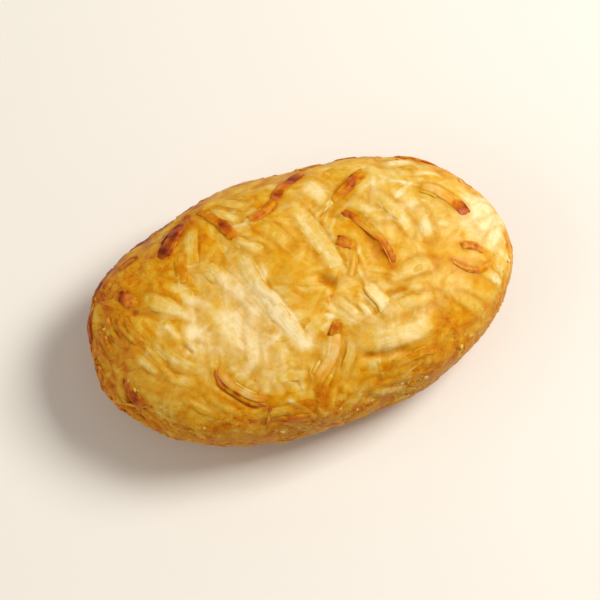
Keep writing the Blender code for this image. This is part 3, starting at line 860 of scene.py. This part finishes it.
BAR_STEP = 0.28
BAR_SIDES = 14
BAR_THICKNESS = 0.34
BAR_POWER = 3.4
BAR_OIL = 0.8
SLAB_FROM = 3.5
STRIP_TOP = (-0.16, 0.03)
STRIP_CLEARANCE = 1.8
STRIP_BROWNER = (-0.14, 0.12)
STRIP_DIP = 0.30
PALE_DIP = 0.25
BLISTERS = 0.8
SPLINTERS = 2
SPLINTER_WIDTH = (0.22, 0.36)
WISP_SEED = 8
WISPS = 70
WISP_BAND = (-0.45, 0.45)
WISP_LENGTH = (1.5, 5.0)
WISP_WIDTH = (0.45, 0.9)


def tube_faces(stations):
    """The quads along a bar with rings of corners at so many stations, and its two end faces."""
    i, j = np.meshgrid(np.arange(stations - 1), np.arange(BAR_SIDES), indexing="ij")
    after = (j + 1) % BAR_SIDES
    faces = np.stack([i * BAR_SIDES + j, i * BAR_SIDES + after,
                      (i + 1) * BAR_SIDES + after, (i + 1) * BAR_SIDES + j], axis=-1).reshape(-1, 4)
    ends = [list(range(BAR_SIDES))[::-1], list(range((stations - 1) * BAR_SIDES, stations * BAR_SIDES))]
    return faces.tolist() + ends


def bar(line, width, top, tilt, toasts, number, dip=0.0):
    """One shred as a closed bar, its ends dipping into the crust: its points, quads and finish."""
    so_far = np.concatenate([[0], np.cumsum(np.linalg.norm(np.diff(line, axis=0), axis=1))])
    total = so_far[-1]
    stations = max(8, round(total / BAR_STEP))
    run = (1 - np.cos(np.linspace(0, math.pi, stations))) / 2 * 0.3 + np.linspace(0, 1, stations) * 0.7
    middle = on_core(np.stack([np.interp(run * total, so_far, line[:, axis]) for axis in range(3)], axis=1))
    out = outward(middle)
    ahead = unit(np.gradient(middle, axis=0))
    left = unit(np.cross(out, ahead))
    up_side = unit(out * math.cos(tilt) - left * math.sin(tilt))
    left = np.cross(up_side, ahead)
    steps = middle + number * 13.7
    size = (1 - np.abs(2 * run - 1) ** 9) ** 0.4 * (1 + 0.3 * soft_noise(steps, 1.8, 61))
    sway = 0.15 * width * soft_noise(steps, 2.5, 62)
    lift = np.pad(settled_height[skin.nearest(middle)], 4, "edge")
    lift = np.convolve(lift, np.full(9, 1 / 9), "valid") + top - width * BAR_THICKNESS / 2
    lift += 0.06 * width * soft_noise(steps, 1.5, 63) - dip * np.abs(2 * run - 1) ** 3
    turn = np.linspace(0, 2 * math.pi, BAR_SIDES, endpoint=False)
    across = np.sign(np.cos(turn)) * np.abs(np.cos(turn)) ** (2 / BAR_POWER)
    raised = np.sign(np.sin(turn)) * np.abs(np.sin(turn)) ** (2 / BAR_POWER)
    half = width / 2 * np.maximum(size, 0.02)
    middle = middle + left * sway[:, None] + out * lift[:, None]
    points = middle[:, None] + left[:, None] * (across * half[:, None])[..., None]
    points = points + up_side[:, None] * (raised * half[:, None] * BAR_THICKNESS)[..., None]
    rounds = points.reshape(-1, 3)
    toast = np.interp(run, np.linspace(0, 1, len(toasts)), toasts).repeat(BAR_SIDES)
    browned = ramp(0.35, 0.60, toast)
    lumps = (0.10 + 0.16 * browned) * (soft_noise(rounds, 1.2, 64) + soft_noise(rounds, 0.6, 65))
    from_middle = rounds - np.repeat(middle, BAR_SIDES, axis=0)
    bumps = (0.04 + 0.07 * browned) * min(1, width) * (grains(rounds, BLISTERS, 68) - 0.4)
    bumps *= np.tile(raised > 0, stations)
    rounds = rounds + from_middle * lumps[:, None] + np.repeat(out, BAR_SIDES, axis=0) * bumps[:, None]
    toast += (0.50 - toast) * np.tile(0.45 * np.abs(across) ** 4, stations)
    blotchy = 0.10 + browned * (0.22 - 0.14 * ramp(0.70, 0.85, toast))
    toast += blotchy * (soft_noise(rounds, 1.0, 66) + soft_noise(rounds, 0.5, 69))
    toast -= 1.2 * bumps
    # Painted pinkish highlight on the upper side of browned shreds, partly their blistered skin.
    blister = browned * ramp(0.05, 0.35, soft_noise(rounds, 0.8, 67))
    blister += (1 - browned) * (0.5 if max(toasts) > BROWNED_FROM else 0.0)
    blister *= np.tile(ramp(0.2, 0.9, raised), stations)
    # Painted shade on the bar's sides, less on browned bars.
    sunk = (1 - 0.7 * browned) * np.tile(np.abs(across) ** 6, stations)
    fibre = np.stack([
        np.repeat(run * total * 0.16, BAR_SIDES),
        np.tile(across * width * 1.2 + raised, stations),
        np.full(len(rounds), number * 3.7),
    ], axis=1)
    return rounds, tube_faces(stations), {
        "toast": toast,
        "blister": blister * 0.35,
        "hollow": sunk,
        "fibre": fibre,
        "oil": np.full(len(rounds), BAR_OIL),
    }


def joined(pieces):
    """Many closed pieces' points, faces and finish as one mesh's."""
    points, faces, values = [], [], {}
    count = 0
    for piece_points, piece_faces, piece_values in pieces:
        points.append(piece_points)
        faces += [[corner + count for corner in face] for face in piece_faces]
        count += len(piece_points)
        for kind, per_point in piece_values.items():
            values.setdefault(kind, []).append(per_point)
    return np.concatenate(points), faces, {kind: np.concatenate(v) for kind, v in values.items()}


def split_shred(draw, line, width, tilt, toasts, number):
    """A browned shred, with the splinters that part from its edges as it shrinks."""
    left = unit(np.cross(outward(line), np.gradient(line, axis=0)))
    yield bar(line, width * 0.9, 0.10, tilt, toasts, number)
    for k in range(SPLINTERS):
        aside = draw.uniform(0.35, 0.55) * (-1) ** k
        count = max(4, round(len(line) * draw.uniform(0.3, 0.6)))
        first = draw.randint(0, max(0, len(line) - count))
        darker = draw.uniform(-0.12, 0.14)
        run = np.linspace(first, min(first + count, len(line)) - 1, 4) / (len(line) - 1)
        own = np.interp(run, np.linspace(0, 1, len(toasts)), toasts) + darker
        strand = on_core(line + left * aside * width)[first:first + count]
        wide = draw.uniform(*SPLINTER_WIDTH) * width
        yield bar(strand, wide, 0.12, draw.uniform(-ROLL, ROLL), own, number + 0.3 * k)


settled_height = skin.settled(height, 3)
draw = random.Random(WISP_SEED)
bars = []
for line, width, proud, tilt, toasts in marked:
    line = on_core(line - drift(line))
    if max(toasts) > BROWNED_FROM:
        bars += split_shred(draw, line, width, tilt, toasts, len(bars))
    elif width < SLAB_FROM:
        bars.append(bar(line, width, 0.3 * (proud - 0.4), tilt * 1.5, toasts, len(bars), PALE_DIP))
crowd = np.concatenate([line for line, *_ in marked])
for line, width, proud, roll in bundled:
    clear = np.linalg.norm(line[:, None] - crowd, axis=2).min(axis=1) > STRIP_CLEARANCE
    runs = np.split(np.arange(len(line)), np.nonzero(np.diff(clear))[0] + 1)
    kept = max((run for run in runs if clear[run[0]]), key=len, default=())
    top = draw.uniform(*STRIP_TOP) - 0.8 * thicker[skin.nearest(line)].max()
    if len(kept) > 3:
        line = on_core(line - drift(line))[kept]
        tips = shred_tips(draw, line, *STRIP_BROWNER)
        bars.append(bar(line, width * 0.8, top, roll, tips, len(bars), STRIP_DIP))
for _ in range(WISPS):
    place = random_place(draw, *WISP_BAND)
    (line, width, _, tilt), *_ = bundle(draw, place, (1, 1), 0, WISP_LENGTH, WISP_WIDTH, (0, 0))
    base = float(frying(place[None])[0]) + draw.uniform(-0.1, 0.2)
    if base > BROWNED_FROM + 0.1:
        bars.append(bar(line, width, 0.12, tilt, (base, base - 0.15, base), len(bars)))
top_shreds = make_mesh("top_shreds", *joined(bars))
top_shreds.data.materials.append(fried_potato)
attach(top_shreds, "root")


# ---------------------------------------------------------------- The crumbs
# Grains of potato and starch stick to the sides while frying and set hard, thickest on the
# lower left where the oil bubbles longest. They are golden to brown and catch the light.

CRUMB_SEED = 3
CRUMBS = 5000
CRUMB_BAND = (-0.75, 0.50)
CRUMB_SIZE = 0.16
CRUMB_LARGEST = 0.36
CRUMB_CELLS = (2, 2, 2)
CRUMB_BROWNER = (-0.22, 0.06)
CRUMB_THICKEST = (-0.5, -0.6, 0)
CLUMP_SIZE = 3.0


def crumb(draw, place, number, ball, faces):
    """One hard grain half sunk in the crust: its points, quads and finish."""
    out = outward(place)
    size = min(CRUMB_LARGEST, CRUMB_SIZE * draw.paretovariate(2.5))
    squash = np.array([draw.uniform(0.6, 1.4) for _ in range(3)])
    own = ball * squash * size
    own = own * (1 + 0.9 * soft_noise(ball + number * 5.3, 0.9, 71))[:, None]
    own -= np.outer(own @ out, out) * 0.4
    spot = skin.nearest(place[None])[0]
    seat = place + out * settled_height[spot]
    toast = np.full(len(ball), brown[spot] + draw.uniform(*CRUMB_BROWNER))
    sunk = np.full(len(ball), draw.uniform(0.1, 0.5))
    return own + seat, faces, {
        "toast": toast, "grainy": np.ones(len(ball)), "hollow": sunk, "fibre": own + seat}


grain_grid, grain_quads = box_grid(CRUMB_CELLS)
grain_ball = unit(rounded(grain_grid))
draw = random.Random(CRUMB_SEED)
crumbs = []
for _ in range(CRUMBS):
    place = random_place(draw, *CRUMB_BAND)
    thick = 0.08 + 0.9 * max(0.0, float(outward(place) @ CRUMB_THICKEST))
    if draw.random() < thick * 4 * max(0.0, float(soft_noise(place[None], CLUMP_SIZE, 73)[0])):
        crumbs.append(crumb(draw, place, len(crumbs), grain_ball, grain_quads.tolist()))
crust_crumbs = make_mesh("crust_crumbs", *joined(crumbs))
crust_crumbs.data.materials.append(fried_potato)
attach(crust_crumbs, "root")


# ---------------------------------------------------------------- The studio
# A plain pale floor, one large soft light from the upper right, a faint fill from the left, and
# the camera at the photograph's angle.

FLOOR_HALF = 1.5
floor_mesh = bpy.data.meshes.new("floor")
floor_mesh.from_pydata(
    [(-FLOOR_HALF, -FLOOR_HALF, 0), (FLOOR_HALF, -FLOOR_HALF, 0), (FLOOR_HALF, FLOOR_HALF, 0),
     (-FLOOR_HALF, FLOOR_HALF, 0)], [], [(0, 1, 2, 3)])
floor = bpy.data.objects.new("floor", floor_mesh)
bpy.context.scene.collection.objects.link(floor)
paper = bpy.data.materials.new("pale_floor")
paper.use_nodes = True
paper.node_tree.nodes["Principled BSDF"].inputs["Base Color"].default_value = (0.80, 0.76, 0.69, 1)
paper.node_tree.nodes["Principled BSDF"].inputs["Roughness"].default_value = 0.7
floor_mesh.materials.append(paper)

AZIMUTH = math.radians(-19.3)
ELEVATION = math.radians(70)
CAMERA_AWAY = 0.46
FRAME_WIDTH = 0.088
back = Vector((math.sin(AZIMUTH) * math.cos(ELEVATION), -math.cos(AZIMUTH) * math.cos(ELEVATION),
               math.sin(ELEVATION)))
right = Vector((math.cos(AZIMUTH), math.sin(AZIMUTH), 0))
up = back.cross(right)
target = Vector((0, 0, 0.010))


def aim(thing, place, at):
    """Puts a light or camera at a place, looking at a point."""
    thing.location = place
    thing.rotation_euler = (at - place).to_track_quat("-Z", "Y").to_euler()


camera = bpy.data.objects.new("camera", bpy.data.cameras.new("camera"))
camera.data.sensor_width = 36
camera.data.lens = 36 * CAMERA_AWAY / FRAME_WIDTH
bpy.context.scene.collection.objects.link(camera)
aim(camera, target + back * CAMERA_AWAY, target)
bpy.context.scene.camera = camera


def soft_light(name, place, size, watts, colour):
    lamp = bpy.data.objects.new(name, bpy.data.lights.new(name, "AREA"))
    lamp.data.size = size
    lamp.data.energy = watts
    lamp.data.color = colour
    bpy.context.scene.collection.objects.link(lamp)
    aim(lamp, place, target)


soft_light("key_light", target + right * 0.32 + up * 0.26 + back * 0.34, 0.22, 3.0, (1.0, 0.98, 0.95))
soft_light("fill_light", target - right * 0.50 - up * 0.10 + back * 0.35, 0.60, 1.4, (1.0, 0.98, 0.92))
world = bpy.data.worlds.new("studio")
world.use_nodes = True
world.node_tree.nodes["Background"].inputs["Color"].default_value = (1, 0.95, 0.88, 1)
world.node_tree.nodes["Background"].inputs["Strength"].default_value = 0.32
bpy.context.scene.world = world
bpy.context.scene.view_settings.view_transform = "Standard"
